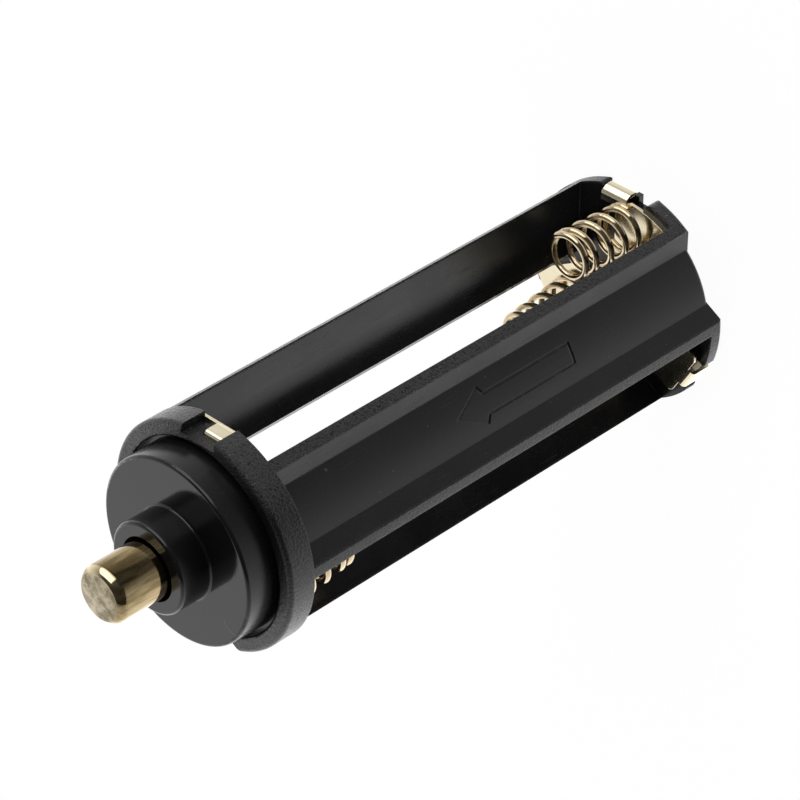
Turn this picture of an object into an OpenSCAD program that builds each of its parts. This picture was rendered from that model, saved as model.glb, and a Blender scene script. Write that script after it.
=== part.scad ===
// Round cage for three slim cells, with a sprung contact pin at its nose.
// The rear face is z = 0, the axis is z and the nose points up.
// Bay A looks towards -30 degrees, bay B towards -150 and bay C towards 90.
// One rib stands between each pair of bays, and the rib at -90 has the arrow.
// In a bay's own frame x runs out from the axis, called u, and y across, called v.

/* [Cells and bays] */
// Diameter of one cell
cell_d = 10.5; // [10:0.05:10.6]
// Play round a cell in its bay, on the radius
cell_play = 0.2; // [0.1:0.05:0.3]
// Distance of each cell's axis from the cage's axis
bay_offset = 6.06; // [5.9:0.02:6.3]
// Clear length of a bay between its end walls
bay_len = 49.4; // [46:0.1:60]

/* [Cage] */
// Outside diameter of the cage
cage_d = 21.5; // [21.2:0.1:23]
// Diameter of the open core between the rib tips
core_d = 10.8; // [10:0.1:11.6]
// Thickness of the rear end wall
rear_wall = 1.5; // [1.4:0.1:3]
// Thickness of the front end wall
front_wall = 1.8; // [1.7:0.1:3]
// Depth of the recess round the foot of the nose cap
recess_depth = 0.9; // [0.6:0.1:1.6]
// Gap between the nose cap and the front rim
rim_gap = 0.37; // [0.2:0.01:0.6]
// Depth of the channel along the back of each rib
channel_depth = 1.55; // [0.8:0.05:1.8]
// Wall between a channel and the bay beside it
lip_wall = 0.85; // [0.6:0.05:1.1]
// Rounding of the rear edge
rear_round = 0.45; // [0.3:0.05:0.8]
// Rounding of the outer edge of the front rim
rim_round = 0.45; // [0.2:0.05:0.6]
// Rounding of the inner edge of the front rim
rim_inner_round = 0.25; // [0.2:0.05:0.35]
// Outside diameter of the ring that locates the nose cap
spigot_d = 14.6; // [13:0.1:15]
// Wall of the locating ring
spigot_wall = 2.3; // [1.2:0.1:2.6]
// Height of the locating ring
spigot_h = 0.8; // [0.4:0.1:1.4]

/* [Arrow on the rib] */
// Distance of the arrow's tail from the rear face
arrow_z = 17; // [8:0.5:28]
// Length of the arrow from tail to tip
arrow_len = 14.4; // [10:0.1:18]
// Length of the arrow's head
head_len = 3.3; // [2:0.1:5]
// Width of the arrow's head
head_w = 3.5; // [2.8:0.1:4]
// Width of the arrow's shaft
shaft_w = 2.1; // [1.2:0.1:2.4]
// How far the barbs lie ahead of the neck
barb_lead = 0.4; // [0:0.1:1]
// Width of the engraved line
groove_w = 0.25; // [0.15:0.05:0.4]
// Depth of the engraved line
groove_depth = 0.1; // [0.08:0.02:0.3]

/* [Notches for the strips] */
// Width of the notches in the front rim
front_notch_w = 3.9; // [3.2:0.1:5]
// Width of the rear notches of bays B and C
rear_notch_w = 3.8; // [3:0.1:5]
// How far the rear notch of bay A opens on its arrow side
notch_a_near = 2.1; // [1.6:0.1:2.6]
// How far the rear notch of bay A opens on its far side
notch_a_far = 2.8; // [2.75:0.05:3.4]
// Rounding of the rim's ends beside the notches
notch_round = 0.9; // [0.4:0.1:1.2]
// Width of the guide nub in the rear notch of bay A
nub_w = 0.55; // [0.4:0.05:0.8]
// Length of the guide nub along the cage
nub_len = 0.7; // [0.5:0.1:1.2]

/* [Contact strips] */
// Thickness of the strip metal
strip_t = 0.3; // [0.2:0.05:0.4]
// Outer radius of the bends in a strip
bend_r = 0.4; // [0.4:0.05:0.6]
// Depth of an ear's outer face below the cage's outside
ear_inset = 0.65; // [0.5:0.05:0.9]
// Width of the narrow ears
ear_w = 2.2; // [1.8:0.1:2.8]
// Width of the rear ear of bay A
wide_ear_w = 2.9; // [2.4:0.1:3]
// Outer radius of the bend between that ear and its inner leg
wide_bend_r = 1; // [0.6:0.1:1.2]
// How far the rear leg of bay A reaches past the bay's middle on its far side
side_leg_v = 0.9; // [0.4:0.1:2]
// Gap between that leg and the bay's wall
side_leg_gap = 0.3; // [0.2:0.05:0.6]
// Shift of the front ear from the middle of its notch
front_ear_shift = -0.65; // [-0.65:0.05:0]
// Width of the flat legs inside the bays
leg_w = 6.6; // [5.6:0.1:7]
// Distance from the axis to the inner end of a leg
leg_in = 3.2; // [2.8:0.1:4]
// Rounding of the corners of a leg
leg_round = 0.65; // [0.3:0.05:1]
// How far the plus contact of bay B stands off the rear wall
leaf_lift = 0.6; // [0.2:0.1:1.2]
// Width of the raised plus contact of bay B
leaf_w = 5.6; // [4.4:0.1:6.4]
// How far the outer legs lie below the rear face
leg_sink = 0.1; // [0:0.05:0.3]
// Diameter of the contact pad in the middle of the rear face
tail_pad_d = 9; // [6:0.2:9.6]
// Mean radius of the bridge between the outer legs of bays A and B
bridge_r = 6.8; // [6.6:0.1:7.6]
// Width of the bridge between the outer legs
bridge_w = 2.4; // [1.4:0.1:2.6]
// How far the raised plus contact reaches out past the other ears
leaf_reach = 0.4; // [0.2:0.05:0.5]
// Play beside a strip in its slot or recess
strip_play = 0.15; // [0.05:0.05:0.3]
// Skin of the front wall over the leg that runs to the pin
skin_t = 0.28; // [0.2:0.02:0.5]
// Diameter of the pad under the pin's spring
pin_pad_d = 5.2; // [4.6:0.1:6]

/* [Cell springs] */
// Outside diameter of a cell spring
spring_d = 4.9; // [4.2:0.1:5.4]
// Diameter of the wire of a cell spring
wire_d = 0.6; // [0.4:0.05:0.7]
// Free length of a cell spring
spring_len = 8.6; // [7:0.1:10]
// Number of turns of a cell spring
spring_turns = 5.16; // [4.16:1:7.16]

/* [Nose cap] */
// Diameter of the foot of the nose cap
cap_foot_d = 17.8; // [17:0.1:18]
// Diameter of the front face of the nose cap
cap_face_d = 17.6; // [16.6:0.1:17.8]
// Height of the nose cap above its seat, without its boss
cap_h = 3.75; // [3.4:0.05:5]
// Thickness of the nose cap's face
cap_top = 1.2; // [0.8:0.1:1.6]
// Rounding of the nose cap's edges
cap_round = 0.3; // [0.1:0.05:0.5]
// Fillet between the nose cap's face and its boss
boss_fillet = 0.2; // [0.1:0.05:0.4]
// Play between the nose cap and its locating ring, on the radius
cap_play = 0.1; // [0.05:0.05:0.2]
// Diameter of the boss round the pin
boss_d = 8.6; // [8:0.1:9.4]
// Height of the boss
boss_h = 3.15; // [2:0.05:4]
// Diameter of the hole for the pin
hole_d = 6; // [5.9:0.05:6.4]

/* [Contact pin] */
// Diameter of the pin's free end
pin_d = 5.4; // [4.8:0.1:5.7]
// How far the pin stands out of the boss at rest
pin_reach = 5.35; // [4:0.05:6]
// Running clearance of the pin's guide in the hole, on the radius
pin_clear = 0.07; // [0.04:0.01:0.1]
// Depth of the end of the guide below the boss's mouth
guide_drop = 1.2; // [0.4:0.1:1.6]
// Rounding of the pin's tip
tip_round = 1.1; // [0.6:0.1:1.4]
// Wall of the hollow pin
pin_wall = 0.5; // [0.4:0.05:0.7]
// Thickness of the pin's end
pin_end = 0.6; // [0.4:0.1:1]
// Diameter of the flange that keeps the pin in
flange_d = 8.4; // [7.4:0.1:9]
// Thickness of the flange
flange_t = 0.6; // [0.4:0.1:0.9]
// Play round the pin's spring inside the pin, on the radius
pin_spring_play = 0.3; // [0.15:0.05:0.4]
// Diameter of the wire of the pin's spring
pin_wire_d = 0.4; // [0.3:0.05:0.5]
// Number of turns of the pin's spring
pin_spring_turns = 10; // [7:1:13]

/* [Hidden] */
$fn = 96;
// Overlap that lets a cut pass clean through a face
cut = 1;
// Directions of the three bays and of the three ribs
bay_a = -30;
bay_b = -150;
bay_c = 90;
arrow_rib = -90;
upper_rib = 30;
lower_rib = 150;
bays = [bay_a, bay_b, bay_c];
// Radii and heights of the cage
cage_r = cage_d / 2;
bay_r = cell_d / 2 + cell_play;
core_r = core_d / 2;
floor_r = cage_r - channel_depth;
recess_r = cap_foot_d / 2 + rim_gap;
spigot_r = spigot_d / 2;
bay_z0 = rear_wall;
bay_z1 = rear_wall + bay_len;
seat_z = bay_z1 + front_wall;
cage_len = seat_z + recess_depth;
// An ear's outer face, and the notch floor that clears the bends beside it
ear_r = cage_r - ear_inset;
notch_r = ear_r - bend_r;
notch_a_r = ear_r - wide_bend_r;
leaf_ear_r = ear_r + leaf_reach;
// The wide rear ear lies against the far side of its notch, beside the guide nub
wide_ear_v1 = notch_a_far - 0.1;
wide_ear_v0 = wide_ear_v1 - wide_ear_w;
nub_v1 = wide_ear_v0 - strip_play;
small_round = 0.3;
// The leg that runs to the pin lies under a thin skin, free by a hair
front_leg_z = seat_z - skin_t;
leg_float = 0.04;
front_ear_v0 = front_ear_shift - ear_w / 2;
pocket_r = cap_foot_d / 2 - 0.4;
// Depth of the recesses in the rear face
rear_recess = leg_sink + strip_t;
// The pressed dimple that meets a cell's plus end
dimple_r = 1.8;
dimple_h = 0.4;
// The link between bays B and C starts nearer the axis than the other legs
link_in = 1.2;
// Heights and radii of the nose cap and of the pin
cap_face_z = seat_z + cap_h;
cap_in_z = cap_face_z - cap_top;
boss_z = cap_face_z + boss_h;
boss_r = boss_d / 2;
hole_r = hole_d / 2;
pin_tip_z = boss_z + pin_reach;
pin_r = pin_d / 2;
pin_bore_r = pin_r - pin_wall;
// Sides round the wire of a spring and rings in one turn of it
wire_sides = 8;
turn_rings = 20;
// Closed ends of a spring: their lengths in turns and their pitch in wire diameters
seat_turns = 1;
free_turns = 0.8;
closed_pitch = 1.03;
// Each cell spring's place in its bay's frame, hand-fitted and so a little different:
// how far its seat lies inside the ears and across, how far its free end leans out
// and across, and where the free end of its wire points
seat_a = [0.1, -0.46];
seat_b = [0.65, -0.85];
seat_c = [1.17, -0.11];
lean_a = [0.76, -0.37];
lean_b = [-0.97, -0.66];
lean_c = [-0.75, 0.59];
end_a = 43.5;
end_b = 44;
end_c = 106.5;

// Turns a child so that its x axis points along a bay or a rib
module facing(angle) {
    rotate([0, 0, angle]) children();
}

// Raises an outline drawn in x and z into a solid from v0 to v1 across y
module across(v0, v1) {
    translate([0, v1, 0])
        rotate([90, 0, 0])
            linear_extrude(v1 - v0)
                children();
}

// The U-shaped opening that takes one cell, open to the outside
module bay_2d() {
    translate([bay_offset, 0]) circle(r = bay_r);
    translate([bay_offset, -bay_r]) square([cage_r, 2 * bay_r]);
}

// The wedge between the two lips of a rib, its sides parallel to the bays
module wedge_2d() {
    apex = (bay_r + lip_wall) / cos(30);
    reach = 2 * (cage_r - apex) + 2 * cut;
    polygon([
        [apex, 0],
        [apex + reach * cos(60), -reach * sin(60)],
        [apex + reach * cos(60), reach * sin(60)]
    ]);
}

// The channel along the back of a rib from z0 to z1
module channel(z0, z1) {
    translate([0, 0, z0])
        linear_extrude(z1 - z0)
            difference() {
                wedge_2d();
                circle(r = floor_r);
            }
}

// Rounds the rear edge of a channel's floor
module channel_rear_round() {
    intersection() {
        rotate_extrude()
            difference() {
                translate([floor_r - rear_round, -cut])
                    square([channel_depth + cut, rear_round + cut]);
                translate([floor_r - rear_round, rear_round]) circle(r = rear_round);
            }
        translate([0, 0, -cut]) linear_extrude(rear_round + 2 * cut) wedge_2d();
    }
}

// A notch in a rim from z0 to z1 and from v0 to v1, down to the radius floor_u
module notch(z0, z1, v0, v1, floor_u = notch_r) {
    translate([floor_u, v0, z0]) cube([cage_r, v1 - v0, z1 - z0]);
}

// The rear notch of bay A, which leaves its guide nub standing as high as the ear
module guided_notch() {
    difference() {
        notch(-cut, bay_z0 + cut, -notch_a_near, notch_a_far, notch_a_r);
        translate([notch_a_r - cut, nub_v1 - nub_w, -2 * cut])
            cube([ear_r - notch_a_r + cut, nub_w, nub_len + 2 * cut]);
    }
}

// Rounds the end of the rear rim where a notch's wall stands at v.
// The rim lies on the side s of that wall, and r is the radius.
module rim_end_round(v, s, r) {
    centre_v = v + s * r;
    centre_u = sqrt(pow(cage_r - r, 2) - pow(centre_v, 2));
    spread = (cage_r + cut) / (cage_r - r);
    translate([0, 0, -cut])
        linear_extrude(rear_wall + cut)
            difference() {
                polygon([
                    [centre_u, centre_v],
                    [centre_u, v],
                    [cage_r + cut, v],
                    [centre_u * spread, centre_v * spread]
                ]);
                translate([centre_u, centre_v]) circle(r = r);
            }
}

// Unit normal on the left of a direction
function left_of(d) = [-d[1], d[0]] / norm(d);

// Points of a closed outline moved inwards by d, each along its own corner's bisector
function inset(points, d) = [
    for (i = [0:len(points) - 1])
        let (
            before = points[(i + len(points) - 1) % len(points)],
            here = points[i],
            after = points[(i + 1) % len(points)],
            n1 = left_of(here - before),
            n2 = left_of(after - here)
        )
        here + d * (n1 + n2) / (1 + n1 * n2)
];

// Outline of the arrow, drawn along x from its tail
arrow_outline = [
    [0, -shaft_w / 2],
    [arrow_len - head_len - barb_lead, -shaft_w / 2],
    [arrow_len - head_len, -head_w / 2],
    [arrow_len, 0],
    [arrow_len - head_len, head_w / 2],
    [arrow_len - head_len - barb_lead, shaft_w / 2],
    [0, shaft_w / 2]
];

// The arrow's engraved line in the floor of the channel
module arrow_groove() {
    difference() {
        translate([0, 0, arrow_z])
            rotate([0, -90, 180])
                linear_extrude(cage_r)
                    difference() {
                        polygon(arrow_outline);
                        polygon(inset(arrow_outline, groove_w));
                    }
        cylinder(h = cage_len, r = floor_r - groove_depth);
    }
}

// Half section of the cage: the drum, the front rim and the locating ring
module cage_profile() {
    rim_w = cage_r - recess_r;
    translate([0, rear_round]) square([cage_r, seat_z - rear_round]);
    square([cage_r - rear_round, rear_round]);
    translate([cage_r - rear_round, rear_round]) circle(r = rear_round);
    translate([recess_r, seat_z]) square([rim_w, recess_depth - rim_round]);
    translate([recess_r, seat_z]) square([rim_w - rim_round, recess_depth - rim_inner_round]);
    translate([recess_r + rim_inner_round, seat_z])
        square([rim_w - rim_inner_round - rim_round, recess_depth]);
    translate([recess_r + rim_inner_round, cage_len - rim_inner_round]) circle(r = rim_inner_round);
    translate([cage_r - rim_round, cage_len - rim_round]) circle(r = rim_round);
    translate([spigot_r - spigot_wall, seat_z]) square([spigot_wall, spigot_h]);
}

// Room for the strip that runs under the nose cap to the pin's spring
module front_strip_room() {
    room_w = ear_w + 2 * strip_play;
    leg_z = front_leg_z - strip_t;
    facing(bay_a)
        translate([0, front_ear_v0 - strip_play, leg_z]) {
            cube([cage_r, room_w, strip_t + leg_float]);
            cube([pocket_r, room_w, cage_len - leg_z + cut]);
        }
    translate([0, 0, leg_z]) cylinder(h = skin_t + strip_t + cut, d = pin_pad_d + 2 * strip_play);
}

// The outer legs of bays A and B with their bridge, from z0 up by h and grown by g
module rear_link_flat(z0, h, g, out_a, out_b) {
    inner = bridge_r - bridge_w / 2 - g;
    translate([0, 0, z0]) {
        rotate_extrude(start = bay_b, angle = bay_a - bay_b)
            translate([inner, 0]) square([bridge_w + 2 * g, h]);
        facing(bay_a)
            translate([inner, wide_ear_v0 - g, 0]) cube([out_a - inner, wide_ear_w + 2 * g, h]);
        facing(bay_b)
            translate([inner, -ear_w / 2 - g, 0]) cube([out_b - inner, ear_w + 2 * g, h]);
    }
}

// The outer leg of bay C with the pad in the middle of the rear face, grown by g
module tail_flat(z0, h, g, out) {
    translate([0, 0, z0]) {
        cylinder(h = h, d = tail_pad_d + 2 * g);
        facing(bay_c) translate([0, -ear_w / 2 - g, 0]) cube([out, ear_w + 2 * g, h]);
    }
}

module cage() {
    color("#1c1c1e")
        difference() {
            rotate_extrude() cage_profile();
            translate([0, 0, bay_z0]) cylinder(h = bay_len, r = core_r);
            for (angle = bays)
                facing(angle) translate([0, 0, bay_z0]) linear_extrude(bay_len) bay_2d();
            facing(arrow_rib) {
                channel(-cut, bay_z1);
                channel_rear_round();
                arrow_groove();
            }
            facing(upper_rib) channel(bay_z0, bay_z1);
            facing(lower_rib) channel(bay_z0, cage_len + cut);
            for (angle = [bay_a, bay_c])
                facing(angle)
                    notch(bay_z1 - cut, cage_len + cut, -front_notch_w / 2, front_notch_w / 2);
            front_strip_room();
            facing(bay_a) {
                guided_notch();
                rim_end_round(-notch_a_near, -1, notch_round);
                rim_end_round(notch_a_far, 1, small_round);
            }
            for (angle = [bay_b, bay_c])
                facing(angle) {
                    notch(-cut, bay_z0 + cut, -rear_notch_w / 2, rear_notch_w / 2);
                    rim_end_round(-rear_notch_w / 2, -1, small_round);
                    rim_end_round(rear_notch_w / 2, 1, small_round);
                }
            rear_link_flat(-cut, rear_recess + cut, strip_play, cage_r, cage_r);
            tail_flat(-cut, rear_recess + cut, strip_play, cage_r);
        }
}

module nose_cap() {
    foot_r = cap_foot_d / 2;
    face_r = cap_face_d / 2;
    color("#202022")
        rotate_extrude()
            difference() {
                union() {
                    polygon([
                        [0, seat_z],
                        [foot_r, seat_z],
                        [face_r, cap_face_z - cap_round],
                        [0, cap_face_z - cap_round]
                    ]);
                    translate([0, cap_face_z - cap_round]) square([face_r - cap_round, cap_round]);
                    translate([face_r - cap_round, cap_face_z - cap_round]) circle(r = cap_round);
                    translate([0, cap_face_z]) square([boss_r, boss_h - cap_round]);
                    translate([0, cap_face_z]) square([boss_r - cap_round, boss_h]);
                    translate([boss_r - cap_round, boss_z - cap_round]) circle(r = cap_round);
                    translate([boss_r, cap_face_z])
                        difference() {
                            square(boss_fillet);
                            translate([boss_fillet, boss_fillet]) circle(r = boss_fillet);
                        }
                }
                translate([0, seat_z - cut]) square([spigot_r + cap_play, cap_in_z - seat_z + cut]);
                translate([0, seat_z]) square([hole_r, cap_h + boss_h + cut]);
            }
}

module contact_pin() {
    guide_r = hole_r - pin_clear;
    color("#c9b27c")
        rotate_extrude()
            difference() {
                union() {
                    translate([0, cap_in_z - flange_t]) square([flange_d / 2, flange_t]);
                    translate([0, cap_in_z]) square([guide_r, boss_z - guide_drop - cap_in_z]);
                    translate([0, cap_in_z]) square([pin_r, pin_tip_z - tip_round - cap_in_z]);
                    translate([0, cap_in_z]) square([pin_r - tip_round, pin_tip_z - cap_in_z]);
                    intersection() {
                        translate([pin_r - tip_round, pin_tip_z - tip_round]) circle(r = tip_round);
                        translate([0, cap_in_z]) square([pin_r, pin_tip_z - cap_in_z]);
                    }
                }
                translate([0, cap_in_z - flange_t - cut])
                    square([pin_bore_r, pin_tip_z - pin_end - cap_in_z + flange_t + cut]);
            }
}

// Height of the wire's centre after t of the n turns of a spring of height h
function coil_z(t, n, h, w) =
    let (
        pitch = closed_pitch * w,
        open_turns = n - seat_turns - free_turns,
        open_pitch = (h - w - (seat_turns + free_turns) * pitch) / open_turns
    )
    w / 2
    + pitch * (min(t, seat_turns) + max(0, t - n + free_turns))
    + open_pitch * max(0, min(t - seat_turns, open_turns));

// A right-hand spring of n turns that stands on z = 0 and leans to its free end,
// where its wire ends at an angle
module coil(outer_d, w, h, n, end_angle, lean = [0, 0]) {
    mean_r = (outer_d - w) / 2;
    steps = round(n * turn_rings);
    points = [
        for (i = [0:steps])
            let (
                t = i * n / steps,
                a = end_angle - 360 * (n - t),
                z = coil_z(t, n, h, w),
                shift = lean * (z - w / 2) / (h - w)
            )
            for (j = [0:wire_sides - 1])
                let (b = 360 * (j + 0.5) / wire_sides, r = mean_r + w / 2 * cos(b))
                [shift[0] + r * cos(a), shift[1] + r * sin(a), z + w / 2 * sin(b)]
    ];
    walls = [
        for (i = [0:steps - 1])
            for (j = [0:wire_sides - 1])
                let (k = (j + 1) % wire_sides, low = i * wire_sides, high = low + wire_sides)
                [low + k, high + k, high + j, low + j]
    ];
    first_end = [for (j = [wire_sides - 1:-1:0]) j];
    last_end = [for (j = [0:wire_sides - 1]) steps * wire_sides + j];
    polyhedron(points = points, faces = concat([first_end], walls, [last_end]), convexity = 10);
}

module pin_spring() {
    seat = front_leg_z + 0.02;
    top = pin_tip_z - pin_end - 0.04;
    color("#b9a877")
        translate([0, 0, seat])
            coil(2 * (pin_bore_r - pin_spring_play), pin_wire_d, top - seat, pin_spring_turns, 0);
}

// Flat outline of a leg from u0 to u1 with rounded corners
module leg_2d(u0, u1, w) {
    r = leg_round;
    translate([u0 + r, -w / 2]) square([u1 - u0 - 2 * r, w]);
    translate([u0, -w / 2 + r]) square([u1 - u0, w - 2 * r]);
    for (u = [u0 + r, u1 - r], v = [-w / 2 + r, w / 2 - r])
        translate([u, v]) circle(r = r);
}

// Flat leg of a strip inside a bay, from z up
module bay_leg(z, u0, u1, w) {
    translate([0, 0, z]) linear_extrude(strip_t) leg_2d(u0, u1, w);
}

// Outline of the rear leg of bay A, which fills the arrow's side of the bay's end
// and makes room for the bend of its ear
module side_leg_2d() {
    half_w = bay_r - side_leg_gap;
    offset(r = leg_round)
        offset(delta = -leg_round)
            difference() {
                intersection() {
                    circle(r = ear_r - side_leg_gap);
                    translate([leg_in, -half_w]) square([cage_r, half_w + side_leg_v]);
                    union() {
                        translate([bay_offset, 0]) circle(r = half_w);
                        translate([bay_offset, -half_w]) square([cage_r, 2 * half_w]);
                    }
                }
                translate([notch_a_r, wide_ear_v0]) square(cage_r);
            }
}

// Pressed dimple under a front leg or, turned over, on a rear one
module dimple(z, up) {
    translate([bay_offset, 0, z])
        mirror([0, 0, up ? 0 : 1])
            cylinder(h = dimple_h, r1 = dimple_r, r2 = dimple_r / 2);
}

// A quarter of a ring, the bend of a strip, above or below its centre
module bend_2d(above, r) {
    intersection() {
        difference() {
            circle(r = r);
            circle(r = r - strip_t);
        }
        translate([0, above ? 0 : -r]) square(r);
    }
}

// Side view of a strip folded round an end wall: a low leg from low_in,
// an ear whose outer face is at u1, and a high leg from high_in after a bend of high_r
module fold_2d(u1, z0, z1, low_in, high_in, high_r = bend_r) {
    low_turn = u1 - bend_r;
    high_turn = u1 - high_r;
    translate([low_in, z0]) square([low_turn - low_in, strip_t]);
    translate([high_in, z1 - strip_t]) square([high_turn - high_in, strip_t]);
    translate([u1 - strip_t, z0 + bend_r]) square([strip_t, z1 - z0 - bend_r - high_r]);
    translate([low_turn, z0 + bend_r]) bend_2d(false, bend_r);
    translate([high_turn, z1 - high_r]) bend_2d(true, high_r);
}

module pin_strip() {
    low_z = bay_z1 - strip_t;
    color("#d8cba0") {
        facing(bay_a) {
            bay_leg(low_z, leg_in, ear_r - 0.1, leg_w);
            dimple(low_z, false);
            across(front_ear_v0, front_ear_v0 + ear_w)
                fold_2d(ear_r, low_z, front_leg_z, bay_offset, 0);
        }
        translate([0, 0, front_leg_z - strip_t]) cylinder(h = strip_t, d = pin_pad_d);
    }
}

module front_link_strip() {
    low_z = bay_z1 - strip_t;
    color("#d8cba0") {
        facing(bay_b) bay_leg(low_z, link_in, notch_r, leg_w);
        facing(bay_c) {
            bay_leg(low_z, link_in, notch_r, leg_w);
            dimple(low_z, false);
            across(-ear_w / 2, ear_w / 2)
                fold_2d(ear_r, low_z, front_leg_z, bay_offset, notch_r - 0.01);
        }
    }
}

module rear_link_strip() {
    inner_z = bay_z0 + strip_t;
    leaf_z = inner_z + leaf_lift;
    color("#d8cba0") {
        rear_link_flat(leg_sink, strip_t, 0, notch_r, notch_r);
        facing(bay_a) {
            translate([0, 0, bay_z0]) linear_extrude(strip_t) side_leg_2d();
            across(wide_ear_v0, wide_ear_v1)
                fold_2d(ear_r, leg_sink, inner_z, bridge_r, notch_a_r - side_leg_gap, wide_bend_r);
        }
        facing(bay_b) {
            bay_leg(leaf_z - strip_t, leg_in, leaf_ear_r - 0.7, leaf_w);
            dimple(leaf_z, true);
            across(-ear_w / 2, ear_w / 2)
                fold_2d(leaf_ear_r, leg_sink, leaf_z, bridge_r, bay_offset);
        }
    }
}

module tail_strip() {
    color("#d8cba0") {
        tail_flat(leg_sink, strip_t, 0, notch_r);
        facing(bay_c) {
            bay_leg(bay_z0, leg_in, ear_r - 0.1, leg_w);
            across(-ear_w / 2, ear_w / 2)
                fold_2d(ear_r, leg_sink, bay_z0 + strip_t, bay_offset, bay_offset);
        }
    }
}

// A cell spring on the rear strips, or turned over under the front one
module cell_spring(angle, z, over, seat, lean, end_angle) {
    seat_u = ear_r - strip_t - spring_d / 2 - seat[0];
    lean_v = over ? -lean[1] : lean[1];
    color("#d2c9ad")
        facing(angle)
            translate([seat_u, seat[1], z])
                rotate([over ? 180 : 0, 0, 0])
                    coil(spring_d, wire_d, spring_len, spring_turns, end_angle, [lean[0], lean_v]);
}

module spring_a() {
    cell_spring(bay_a, bay_z0 + strip_t, false, seat_a, lean_a, end_a);
}

module spring_b() {
    cell_spring(bay_b, bay_z1 - strip_t, true, seat_b, lean_b, end_b);
}

module spring_c() {
    cell_spring(bay_c, bay_z0 + strip_t, false, seat_c, lean_c, end_c);
}

cage();
nose_cap();
contact_pin();
pin_spring();
pin_strip();
front_link_strip();
rear_link_strip();
tail_strip();
spring_a();
spring_b();
spring_c();
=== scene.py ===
import math

import bpy
from mathutils import Matrix, Vector


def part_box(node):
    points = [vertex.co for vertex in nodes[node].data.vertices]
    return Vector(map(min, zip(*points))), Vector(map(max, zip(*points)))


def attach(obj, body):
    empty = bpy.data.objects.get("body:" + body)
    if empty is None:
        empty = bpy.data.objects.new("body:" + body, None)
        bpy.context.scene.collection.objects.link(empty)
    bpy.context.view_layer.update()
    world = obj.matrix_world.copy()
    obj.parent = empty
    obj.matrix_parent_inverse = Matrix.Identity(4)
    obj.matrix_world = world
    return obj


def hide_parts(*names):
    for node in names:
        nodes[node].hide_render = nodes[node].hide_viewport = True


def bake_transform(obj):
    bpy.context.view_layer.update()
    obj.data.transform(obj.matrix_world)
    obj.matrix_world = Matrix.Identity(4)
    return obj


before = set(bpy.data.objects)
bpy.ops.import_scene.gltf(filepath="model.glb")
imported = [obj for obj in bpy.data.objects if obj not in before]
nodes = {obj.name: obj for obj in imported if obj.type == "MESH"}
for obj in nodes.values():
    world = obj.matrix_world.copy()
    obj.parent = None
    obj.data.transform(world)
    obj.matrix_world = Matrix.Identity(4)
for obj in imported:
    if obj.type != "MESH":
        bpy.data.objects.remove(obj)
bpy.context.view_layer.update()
bpy.ops.object.select_all(action="DESELECT")

# The picture. The camera stands out beyond the nose, on the side of the rib with the arrow, and is turned
# so that bay A looks up. Its long lens keeps the holder's sides nearly parallel.
mm = 0.001
nose = Vector((0, 0, 1))
bay_a = math.radians(-30)
up = Vector((math.cos(bay_a), math.sin(bay_a), 0))
eye = Vector((69.54, -250.73, 214.18)) * mm
look = Vector((-0.2131, 0.7865, -0.5797)).normalized()
right = look.cross(up).normalized()
top = right.cross(look)
camera = bpy.data.objects.new("camera", bpy.data.cameras.new("camera"))
camera.data.sensor_width = 36
camera.data.lens = 165.76
camera.data.clip_start = 0.02
camera.data.clip_end = 5
camera.matrix_world = Matrix.Translation(eye) @ Matrix((right, top, -look)).transposed().to_4x4()
bpy.context.collection.objects.link(camera)
bpy.context.scene.camera = camera
bpy.context.scene.view_settings.view_transform = "Standard"


# The room is a white light tent. Its walls glow more on the side away from the camera, its front is open
# to a dark room above the table's edge, and one square lamp hangs overhead. The camera sees plain white.
def link(tree, source, target):
    tree.links.new(source, target)


def feed(tree, value, socket):
    if isinstance(value, (int, float)):
        socket.default_value = value
    else:
        link(tree, value, socket)


def math_node(tree, operation, *values):
    node = tree.nodes.new("ShaderNodeMath")
    node.operation = operation
    for value, socket in zip(values, node.inputs):
        feed(tree, value, socket)
    return node.outputs[0]


def ramp(tree, value, low, high, out_low=0.0, out_high=1.0):
    node = tree.nodes.new("ShaderNodeMapRange")
    node.interpolation_type = "SMOOTHSTEP"
    link(tree, value, node.inputs["Value"])
    node.inputs["From Min"].default_value = low
    node.inputs["From Max"].default_value = high
    node.inputs["To Min"].default_value = out_low
    node.inputs["To Max"].default_value = out_high
    return node.outputs["Result"]


def along(tree, vector, direction):
    node = tree.nodes.new("ShaderNodeVectorMath")
    node.operation = "DOT_PRODUCT"
    link(tree, vector, node.inputs[0])
    node.inputs[1].default_value = direction
    return node.outputs["Value"]


def blend_values(tree, mask, outside, inside):
    kept = math_node(tree, "MULTIPLY", outside, math_node(tree, "SUBTRACT", 1, mask))
    return math_node(tree, "MULTIPLY_ADD", mask, inside, kept)


def blend_shaders(tree, mask, outside, inside):
    node = tree.nodes.new("ShaderNodeMixShader")
    for source, socket in zip((mask, outside, inside), node.inputs):
        link(tree, source, socket)
    return node.outputs[0]


across = nose.cross(up)
wall_light = 0.68
wall_fall = Vector((0.415, -0.723, 0.47))
wall_most = 1.9
wall_soft = 0.3
# The dark front is on the nose's side of a tilted plane, above the table's edge and not far across
front_side = nose + up * 0.522 - across * 0.308
front_edge = (-0.012, 0.008)
front_end = (0.3, 0.7)
front_light = 0.06
table_edge = (-0.42, -0.34)
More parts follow.
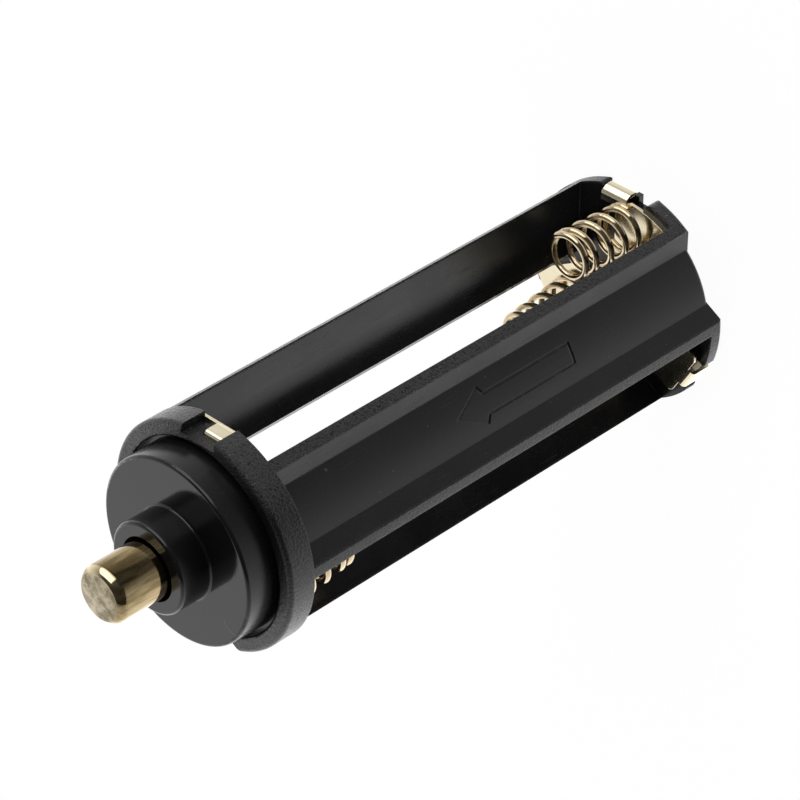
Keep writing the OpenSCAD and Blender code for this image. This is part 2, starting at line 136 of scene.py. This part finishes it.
# The lamp is what lies within its reach of two planes. Its reach grows with the height.
lamp_light = 1.9
lamp_sides = (across - up * 0.31, nose - up * 0.42)
lamp_reach = 0.7
lamp_edge = (-0.03, 0.06)
room = bpy.data.worlds.new("light_tent")
room.use_nodes = True
bpy.context.scene.world = room
tree = room.node_tree
tree.nodes.clear()
way = tree.nodes.new("ShaderNodeTexCoord").outputs["Generated"]
height = along(tree, way, up)
walls = math_node(tree, "SUBTRACT", wall_light, along(tree, way, wall_fall))
walls = math_node(tree, "SMOOTH_MIN", walls, wall_most, wall_soft)
open_front = ramp(tree, along(tree, way, front_side), *front_edge)
over_table = ramp(tree, height, *table_edge)
near_side = ramp(tree, along(tree, way, across), *front_end, out_low=1, out_high=0)
dark = math_node(tree, "MULTIPLY", math_node(tree, "MULTIPLY", open_front, over_table), near_side)
walls = blend_values(tree, dark, walls, front_light)
reach = math_node(tree, "MULTIPLY", height, lamp_reach)
lamp = 1
for side in lamp_sides:
    off_middle = math_node(tree, "ABSOLUTE", along(tree, way, side))
    inside = math_node(tree, "SUBTRACT", reach, off_middle)
    lamp = math_node(tree, "MULTIPLY", ramp(tree, inside, *lamp_edge), lamp)
tent = tree.nodes.new("ShaderNodeBackground")
link(tree, blend_values(tree, lamp, walls, lamp_light), tent.inputs["Strength"])
white = tree.nodes.new("ShaderNodeBackground")
white.inputs["Strength"].default_value = 1
for background in (tent, white):
    background.inputs["Color"].default_value = (1, 1, 1, 1)
ray = tree.nodes.new("ShaderNodeLightPath")
seen = blend_shaders(tree, ray.outputs["Is Camera Ray"], tent.outputs[0], white.outputs[0])
link(tree, seen, tree.nodes.new("ShaderNodeOutputWorld").inputs["Surface"])

# The floor is a sheet of white paper under the rear face. It takes the holder's soft shadow, and gloss
# looks past it into the tent.
paper_size = 0.6
paper_gap = 0.05 * mm
paper_grey = (0.1, 0.1, 0.1, 1)
paper_glow = 0.95
bpy.ops.mesh.primitive_plane_add(size=paper_size, location=(0, 0, -paper_gap))
floor = bpy.context.object
floor.name = "floor"
bpy.ops.object.transform_apply(location=True, rotation=True, scale=True)
paper = bpy.data.materials.new("white_paper")
paper.use_nodes = True
tree = paper.node_tree
tree.nodes.clear()
matt = tree.nodes.new("ShaderNodeBsdfDiffuse")
matt.inputs["Color"].default_value = paper_grey
shine = tree.nodes.new("ShaderNodeEmission")
shine.inputs["Strength"].default_value = paper_glow
sheet = tree.nodes.new("ShaderNodeAddShader")
link(tree, matt.outputs[0], sheet.inputs[0])
link(tree, shine.outputs[0], sheet.inputs[1])
clear = tree.nodes.new("ShaderNodeBsdfTransparent")
ray = tree.nodes.new("ShaderNodeLightPath")
gloss_ray = math_node(tree, "MAXIMUM", ray.outputs["Is Glossy Ray"], ray.outputs["Is Transmission Ray"])
seen = blend_shaders(tree, gloss_ray, sheet.outputs[0], clear.outputs[0])
link(tree, seen, tree.nodes.new("ShaderNodeOutputMaterial").inputs["Surface"])
floor.data.materials.append(paper)


# The cage: one moulding in black plastic. The mould was spark-eroded where it makes the two rims, and
# smoother in the channels and bays. Its corners are rounded a little and have worn grey in places.
def new_group(name, setting, start, outputs):
    group = bpy.data.node_groups.new(name, "ShaderNodeTree")
    group.interface.new_socket("Vector", in_out="INPUT", socket_type="NodeSocketVector")
    made = group.interface.new_socket(setting, in_out="INPUT", socket_type="NodeSocketFloat")
    made.default_value = start
    for output in outputs:
        kind = "NodeSocketVector" if output == "Normal" else "NodeSocketFloat"
        group.interface.new_socket(output, in_out="OUTPUT", socket_type=kind)
    return group, group.nodes.new("NodeGroupInput"), group.nodes.new("NodeGroupOutput")


def noise(tree, vector, scale, detail, roughness):
    node = tree.nodes.new("ShaderNodeTexNoise")
    link(tree, vector, node.inputs["Vector"])
    feed(tree, scale, node.inputs["Scale"])
    node.inputs["Detail"].default_value = detail
    node.inputs["Roughness"].default_value = roughness
    return node.outputs["Fac"]


def stretched(tree, vector, scale):
    node = tree.nodes.new("ShaderNodeMapping")
    link(tree, vector, node.inputs["Vector"])
    node.inputs["Scale"].default_value = scale
    return node.outputs["Vector"]


# Spark texture: the grain that a spark-eroded mould leaves on plastic
spark, put, out = new_group("spark_texture", "Grain", 5000, ["Height"])
grain = noise(spark, put.outputs["Vector"], put.outputs["Grain"], detail=3, roughness=0.65)
link(spark, ramp(spark, grain, low=0.38, high=0.66), out.inputs["Height"])

# Scuffs: hair scratches along the axis, in patches
hair_scale = 9000
hair_stretch = (1, 1, 0.03)
patch_scale = 160
scuffs, put, out = new_group("scuffs", "Amount", 0.5, ["Mask"])
drawn_out = stretched(scuffs, put.outputs["Vector"], hair_stretch)
hairs = ramp(scuffs, noise(scuffs, drawn_out, hair_scale, detail=2, roughness=0.5), low=0.58, high=0.7)
patches = noise(scuffs, put.outputs["Vector"], patch_scale, detail=3, roughness=0.6)
in_patch = math_node(scuffs, "MULTIPLY", hairs, ramp(scuffs, patches, low=0.46, high=0.64))
link(scuffs, math_node(scuffs, "MULTIPLY", in_patch, put.outputs["Amount"]), out.inputs["Mask"])

# Edge wear: finds the corners, gives them a rounded shade, and a mask of where they are rubbed
rub_scale = 900
wear, put, out = new_group("edge_wear", "Radius", 0.12 * mm, ["Mask", "Normal"])
rounded = wear.nodes.new("ShaderNodeBevel")
rounded.samples = 8
link(wear, put.outputs["Radius"], rounded.inputs["Radius"])
facing = wear.nodes.new("ShaderNodeNewGeometry")
same = wear.nodes.new("ShaderNodeVectorMath")
same.operation = "DOT_PRODUCT"
link(wear, rounded.outputs["Normal"], same.inputs[0])
link(wear, facing.outputs["Normal"], same.inputs[1])
corner = ramp(wear, same.outputs["Value"], low=0.995, high=0.8)
rubbed = noise(wear, put.outputs["Vector"], rub_scale, detail=4, roughness=0.65)
rubbed = ramp(wear, rubbed, low=0.5, high=0.66)
link(wear, math_node(wear, "MULTIPLY", corner, rubbed), out.inputs["Mask"])
link(wear, rounded.outputs["Normal"], out.inputs["Normal"])


def new_material(name):
    material = bpy.data.materials.new(name)
    material.use_nodes = True
    tree = material.node_tree
    tree.nodes.clear()
    shader = tree.nodes.new("ShaderNodeBsdfPrincipled")
    link(tree, shader.outputs[0], tree.nodes.new("ShaderNodeOutputMaterial").inputs["Surface"])
    place = tree.nodes.new("ShaderNodeTexCoord").outputs["Object"]
    return material, tree, shader, place


def placed(tree, group, vector, **settings):
    node = tree.nodes.new("ShaderNodeGroup")
    node.node_tree = group
    link(tree, vector, node.inputs["Vector"])
    for name, value in settings.items():
        node.inputs[name].default_value = value
    return node


def blend_colors(tree, mask, outside, inside):
    node = tree.nodes.new("ShaderNodeMix")
    node.data_type = "RGBA"
    link(tree, mask, node.inputs["Factor"])
    for color, socket in ((outside, node.inputs[6]), (inside, node.inputs[7])):
        if isinstance(color, tuple):
            socket.default_value = (*color, 1)
        else:
            link(tree, color, socket)
    return node.outputs[2]


def bump(tree, height, strength, distance, normal=None):
    node = tree.nodes.new("ShaderNodeBump")
    link(tree, height, node.inputs["Height"])
    feed(tree, strength, node.inputs["Strength"])
    node.inputs["Distance"].default_value = distance
    if normal is not None:
        link(tree, normal, node.inputs["Normal"])
    return node.outputs["Normal"]


def roughened(tree, rough, mask, amount):
    return math_node(tree, "MULTIPLY_ADD", mask, amount, rough)


def out_from_axis(tree, place):
    node = tree.nodes.new("ShaderNodeVectorMath")
    node.operation = "LENGTH"
    link(tree, stretched(tree, place, (1, 1, 0)), node.inputs[0])
    return node.outputs["Value"]


def paint(piece, material):
    piece.data.materials.clear()
    piece.data.materials.append(material)


rim_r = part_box("cage")[1].x
rim_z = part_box("cage")[1].z
cage_corner_r = 0.1 * mm
# Where the spark texture fades in: on the rims' outside and on the front rim's face. It is deeper on the
# side that bay A looks to.
side_fade = (rim_r - 0.3 * mm, rim_r - 0.05 * mm)
face_fade = (rim_r - 1.45 * mm, rim_r - 1.25 * mm)
front_fade = (rim_z - 2.3 * mm, rim_z - 1.9 * mm)
deep_from = (6 * mm, 9 * mm)
spark_depth = 0.045 * mm
channel_share = 0.035
cage_black = (0.0042, 0.0042, 0.0045)
cage_black_pale = (0.0072, 0.0072, 0.0076)
cage_worn_grey = (0.05, 0.05, 0.052)
cage_scuff_grey = (0.016, 0.016, 0.017)
dust_grey = (0.06, 0.06, 0.058)
dust_scale = 2600
plastic, tree, shader, place = new_material("cage_plastic")
grain = placed(tree, spark, place, Grain=4600).outputs["Height"]
scuff = placed(tree, scuffs, place, Amount=0.5).outputs["Mask"]
worn = placed(tree, wear, place, Radius=cage_corner_r)
outward = out_from_axis(tree, place)
at_front = ramp(tree, along(tree, place, nose), *front_fade)
on_face = math_node(tree, "MULTIPLY", at_front, ramp(tree, outward, *face_fade))
on_rim = math_node(tree, "MAXIMUM", ramp(tree, outward, *side_fade), on_face)
tone = noise(tree, place, scale=120, detail=4, roughness=0.6)
speck = ramp(tree, noise(tree, place, dust_scale, detail=1, roughness=0.4), low=0.785, high=0.82)
color = blend_colors(tree, tone, cage_black, cage_black_pale)
color = blend_colors(tree, worn.outputs["Mask"], color, cage_worn_grey)
color = blend_colors(tree, scuff, color, cage_scuff_grey)
color = blend_colors(tree, speck, color, dust_grey)
link(tree, color, shader.inputs["Base Color"])
rough = ramp(tree, tone, low=0.3, high=0.7, out_low=0.22, out_high=0.3)
rough = roughened(tree, rough, scuff, amount=0.35)
link(tree, rough, shader.inputs["Roughness"])
deep = ramp(tree, along(tree, place, up), *deep_from, out_low=0.42, out_high=0.965)
depth = math_node(tree, "MULTIPLY_ADD", on_rim, deep, channel_share)
normal = bump(tree, grain, strength=depth, distance=spark_depth, normal=worn.outputs["Normal"])
link(tree, normal, shader.inputs["Normal"])
paint(nodes["cage"], plastic)

# The strips at the front: pressed from thin nickel-plated brass and folded over the front wall. One joins
# bays B and C, and one runs under the nose cap to the pin's spring.
strip_corner_r = 0.06 * mm
plate_yellow = (0.80, 0.67, 0.43)
plate_pale = (0.93, 0.87, 0.69)
strip_brass = (0.62, 0.45, 0.24)
nickel, tree, shader, place = new_material("strip_metal")
worn = placed(tree, wear, place, Radius=strip_corner_r)
scuff = placed(tree, scuffs, place, Amount=0.5).outputs["Mask"]
tone = noise(tree, place, scale=250, detail=4, roughness=0.65)
color = blend_colors(tree, tone, plate_yellow, plate_pale)
color = blend_colors(tree, worn.outputs["Mask"], color, strip_brass)
link(tree, color, shader.inputs["Base Color"])
shader.inputs["Metallic"].default_value = 1
rough = ramp(tree, tone, low=0.3, high=0.7, out_low=0.11, out_high=0.2)
rough = roughened(tree, rough, scuff, amount=0.2)
link(tree, rough, shader.inputs["Roughness"])
normal = bump(tree, tone, strength=0.1, distance=0.02 * mm, normal=worn.outputs["Normal"])
link(tree, normal, shader.inputs["Normal"])
for name in ("front_link_strip", "pin_strip"):
    paint(nodes[name], nickel)

# The strips at the rear, of the same metal. One joins bays A and B, and the other runs from bay C to the
# pad in the middle of the rear face.
for name in ("rear_link_strip", "tail_strip"):
    paint(nodes[name], nickel)

# The springs: nickel-plated steel wire with a warm tint, wound right-handed with closed ends. Each is a
# copy of its solid, with the wire swollen a little and then rounded, which brings it back to its gauge.
cell_wire_d = 0.6 * mm
wire_brown = (0.58, 0.45, 0.28)
wire_pale = (0.82, 0.70, 0.48)
wire_line_brown = (0.36, 0.26, 0.16)
wire, tree, shader, place = new_material("spring_wire")
tone = noise(tree, place, scale=400, detail=3, roughness=0.6)
drawn = noise(tree, place, scale=3500, detail=2, roughness=0.5)
color = blend_colors(tree, tone, wire_brown, wire_pale)
color = blend_colors(tree, ramp(tree, drawn, low=0.6, high=0.75), color, wire_line_brown)
link(tree, color, shader.inputs["Base Color"])
shader.inputs["Metallic"].default_value = 1
rough = ramp(tree, tone, low=0.3, high=0.7, out_low=0.1, out_high=0.18)
link(tree, rough, shader.inputs["Roughness"])
normal = bump(tree, drawn, strength=0.2, distance=0.006 * mm)
link(tree, normal, shader.inputs["Normal"])


def rounded_wire(name, wire_d, levels):
    same_point = 0.001 * mm
    swelling = 0.07 * wire_d
    coil = bpy.data.objects.new(name + "_wire", nodes[name].data.copy())
    bpy.context.collection.objects.link(coil)
    bpy.context.view_layer.objects.active = coil
    coil.select_set(True)
    bpy.ops.object.mode_set(mode="EDIT")
    bpy.ops.mesh.select_all(action="SELECT")
    bpy.ops.mesh.remove_doubles(threshold=same_point)
    bpy.ops.mesh.tris_convert_to_quads(face_threshold=math.radians(40), shape_threshold=math.radians(60))
    bpy.ops.transform.shrink_fatten(value=swelling)
    bpy.ops.mesh.select_all(action="DESELECT")
    bpy.ops.object.mode_set(mode="OBJECT")
    smooth = coil.modifiers.new("round", "SUBSURF")
    smooth.levels = levels
    smooth.render_levels = levels
    bpy.ops.object.modifier_apply(modifier=smooth.name)
    bpy.ops.object.shade_smooth()
    coil.select_set(False)
    paint(coil, wire)
    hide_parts(name)
    return coil


for name in ("spring_a", "spring_b", "spring_c"):
    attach(rounded_wire(name, cell_wire_d, levels=2), "holder")

# The spring under the pin, of thinner wire, hidden in the pin's bore. Its foot stands on the strip and the
# pin carries its top turn.
pin_wire_d = 0.4 * mm
pin_coil = rounded_wire("pin_spring", pin_wire_d, levels=1)
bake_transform(pin_coil)

# The contact pin: turned from brass and drilled from behind, with a flange that keeps it in the cap. It is
# rubbed bright on the upper side of its tip, brown with tarnish behind that, streaked below and dull on
# its domed end. Inside the cap's hole its lower side is painted near-black brown as shade.
pin_low, pin_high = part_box("contact_pin")
cap_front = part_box("nose_cap")[1].z
pin_tip = pin_high.z
flange_z = pin_low.z
flange_r = pin_high.x
flange_t = 0.6 * mm
hole_r = 3 * mm
guide_r = hole_r - 0.07 * mm
guide_z = cap_front - 1.2 * mm
guide_chamfer = 0.1 * mm
pin_r = 2.7 * mm
bore_r = 2.2 * mm
pin_end = 0.6 * mm
tip_round = 1.05 * mm
tip_turn = math.radians(57)
tip_dome = 0.12 * mm
arc_steps = 12
dome_steps = 6
pin_sides = 96
crisp_from = math.radians(20)
# Half of the pin's section, from the bore's end back over the flange and forwards to the tip
outline = [
    (bore_r, pin_tip - pin_end),
    (bore_r, flange_z),
    (flange_r, flange_z),
    (flange_r, flange_z + flange_t),
    (guide_r, flange_z + flange_t),
    (guide_r, guide_z - guide_chamfer),
    (guide_r - guide_chamfer, guide_z),
    (pin_r, guide_z),
]
edge_z = pin_tip - tip_dome
edge_r = pin_r - tip_round * (1 - math.cos(tip_turn))
for step in range(arc_steps + 1):
    turn = tip_turn * step / arc_steps
    rise = tip_round * (math.sin(tip_turn) - math.sin(turn))
    outline.append((pin_r - tip_round * (1 - math.cos(turn)), edge_z - rise))
for step in range(1, dome_steps):
    share = 1 - step / dome_steps
    outline.append((edge_r * share, pin_tip - tip_dome * share ** 2))
last_r, last_z = outline[0]
bpy.ops.mesh.primitive_circle_add(
    vertices=pin_sides, radius=last_r, fill_type="NGON", location=(0, 0, last_z)
)
pin = bpy.context.object
pin.name = "turned_pin"
bpy.ops.object.transform_apply(location=True, rotation=True, scale=True)
bpy.ops.object.mode_set(mode="EDIT")
bpy.ops.mesh.select_mode(type="EDGE")
bpy.ops.mesh.select_all(action="SELECT")
bpy.ops.mesh.region_to_loop()
for r, z in outline[1:]:
    bpy.ops.mesh.extrude_edges_move(TRANSFORM_OT_translate={"value": (0, 0, z - last_z)})
    bpy.ops.transform.resize(value=(r / last_r, r / last_r, 1), center_override=(0, 0, z))
    last_r, last_z = r, z
bpy.ops.mesh.edge_face_add()
bpy.ops.mesh.select_all(action="SELECT")
bpy.ops.mesh.normals_make_consistent(inside=False)
bpy.ops.object.mode_set(mode="OBJECT")
bpy.ops.object.shade_smooth_by_angle(angle=crisp_from)
pin.select_set(False)
pin_corner_r = 0.05 * mm
# Where its finish and its painted shade change, along the axis and on the way up
end_fade = (edge_z - 0.03 * mm, edge_z + 0.02 * mm)
tip_fade = (edge_z - 0.8 * mm, edge_z - 0.5 * mm)
hole_shade_fade = (cap_front - 0.4 * mm, cap_front - 1.4 * mm)
rubbed_from = (1.65 * mm, 2 * mm)
tarnish_from = (1.2 * mm, 2.2 * mm)
shade_from = (1.9 * mm, 1.1 * mm)
bare_dark = (0.27, 0.20, 0.095)
bare_light = (0.52, 0.41, 0.235)
rubbed_gold = (0.78, 0.66, 0.42)
tarnish_dark = (0.19, 0.135, 0.062)
tarnish_light = (0.47, 0.365, 0.195)
end_dark = (0.19, 0.155, 0.09)
end_light = (0.46, 0.40, 0.285)
# Painted shade: the near-black brown that the pin's lower side takes inside the cap's hole
hole_shade_brown = (0.06, 0.045, 0.025)
scuff_brown = (0.20, 0.14, 0.07)
rub_stretch = (1, 1, 0.12)
brass, tree, shader, place = new_material("pin_brass")
worn = placed(tree, wear, place, Radius=pin_corner_r)
scuff = placed(tree, scuffs, place, Amount=1).outputs["Mask"]
forward = along(tree, place, nose)
upward = along(tree, place, up)
on_end = ramp(tree, forward, *end_fade)
at_tip = ramp(tree, forward, *tip_fade)
rubbed_tip = math_node(tree, "MULTIPLY", at_tip, ramp(tree, upward, *rubbed_from))
behind_tip = math_node(tree, "SUBTRACT", 1, rubbed_tip)
upper = math_node(tree, "MULTIPLY", ramp(tree, upward, *tarnish_from), behind_tip)
# Painted shade: deep in the cap's hole the pin's lower side is painted near-black brown, as the gap's
# shade
in_hole_shade = ramp(tree, forward, *hole_shade_fade)
in_shade = math_node(tree, "MULTIPLY", in_hole_shade, ramp(tree, upward, *shade_from))
tone = noise(tree, place, scale=800, detail=6, roughness=0.7)
drawn_out = stretched(tree, place, rub_stretch)
rubs = noise(tree, drawn_out, scale=1500, detail=4, roughness=0.65)
streak = ramp(tree, rubs, low=0.35, high=0.68)
bare = blend_colors(tree, streak, bare_dark, bare_light)
bright = blend_colors(tree, rubbed_tip, bare, rubbed_gold)
tarnished = blend_colors(tree, streak, tarnish_dark, tarnish_light)
mottled = blend_colors(tree, ramp(tree, tone, low=0.38, high=0.62), end_dark, end_light)
color = blend_colors(tree, upper, bright, tarnished)
color = blend_colors(tree, on_end, color, mottled)
color = blend_colors(tree, in_shade, color, hole_shade_brown)
color = blend_colors(tree, scuff, color, scuff_brown)
link(tree, color, shader.inputs["Base Color"])
shader.inputs["Metallic"].default_value = 1
rough = ramp(tree, rubs, low=0.35, high=0.7, out_low=0.06, out_high=0.13)
rough = roughened(tree, rough, on_end, amount=0.16)
rough = roughened(tree, rough, scuff, amount=0.25)
link(tree, rough, shader.inputs["Roughness"])
normal = bump(tree, rubs, strength=0.35, distance=0.012 * mm, normal=worn.outputs["Normal"])
link(tree, normal, shader.inputs["Normal"])
paint(pin, brass)
paint(nodes["contact_pin"], brass)
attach(pin, "pin")
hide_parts("contact_pin")

# The nose cap: a second moulding in the same plastic, from a polished mould, pushed over the ring on the
# front wall. Its faces are glossy, its turned sides duller, and a faint crescent beside the lower edge
# shows where the plastic came in.
cap_corner_r = 0.08 * mm
mark_place = Vector((-6.5, -4.2, 0)) * mm
mark_r = 1.15 * mm
mark_w = 0.09 * mm
mark_below = (0.5 * mm, -0.6 * mm)
mark_depth = 0.02 * mm
cap_black = (0.0055, 0.0055, 0.0058)
cap_black_pale = (0.0085, 0.0085, 0.0088)
cap_worn_grey = (0.02, 0.02, 0.021)
cap_dust_grey = (0.05, 0.05, 0.05)
cap_plastic, tree, shader, place = new_material("cap_plastic")
grain = placed(tree, spark, place, Grain=4500).outputs["Height"]
scuff = placed(tree, scuffs, place, Amount=0.3).outputs["Mask"]
worn = placed(tree, wear, place, Radius=cap_corner_r)
tone = noise(tree, place, scale=150, detail=3, roughness=0.5)
speck = ramp(tree, noise(tree, place, dust_scale, detail=1, roughness=0.4), low=0.79, high=0.82)
color = blend_colors(tree, tone, cap_black, cap_black_pale)
color = blend_colors(tree, worn.outputs["Mask"], color, cap_worn_grey)
color = blend_colors(tree, speck, color, cap_dust_grey)
link(tree, color, shader.inputs["Base Color"])
surface = tree.nodes.new("ShaderNodeTexCoord").outputs["Normal"]
side_rough = ramp(tree, along(tree, surface, nose), low=0.9, high=0.3, out_low=0, out_high=0.16)
rough = ramp(tree, tone, low=0.3, high=0.7, out_low=0.07, out_high=0.11)
rough = math_node(tree, "ADD", rough, side_rough)
rough = roughened(tree, rough, scuff, amount=0.3)
link(tree, rough, shader.inputs["Roughness"])
from_mark = tree.nodes.new("ShaderNodeVectorMath")
from_mark.operation = "SUBTRACT"
link(tree, place, from_mark.inputs[0])
from_mark.inputs[1].default_value = mark_place
from_mark = from_mark.outputs["Vector"]
off_ring = math_node(tree, "SUBTRACT", out_from_axis(tree, from_mark), mark_r)
ring = ramp(tree, math_node(tree, "ABSOLUTE", off_ring), 0, mark_w, out_low=1, out_high=0)
lower_half = ramp(tree, along(tree, from_mark, up), *mark_below)
crescent = math_node(tree, "MULTIPLY", ring, lower_half)
normal = bump(tree, crescent, strength=0.5, distance=mark_depth, normal=worn.outputs["Normal"])
normal = bump(tree, grain, strength=0.08, distance=0.01 * mm, normal=normal)
link(tree, normal, shader.inputs["Normal"])
paint(nodes["nose_cap"], cap_plastic)
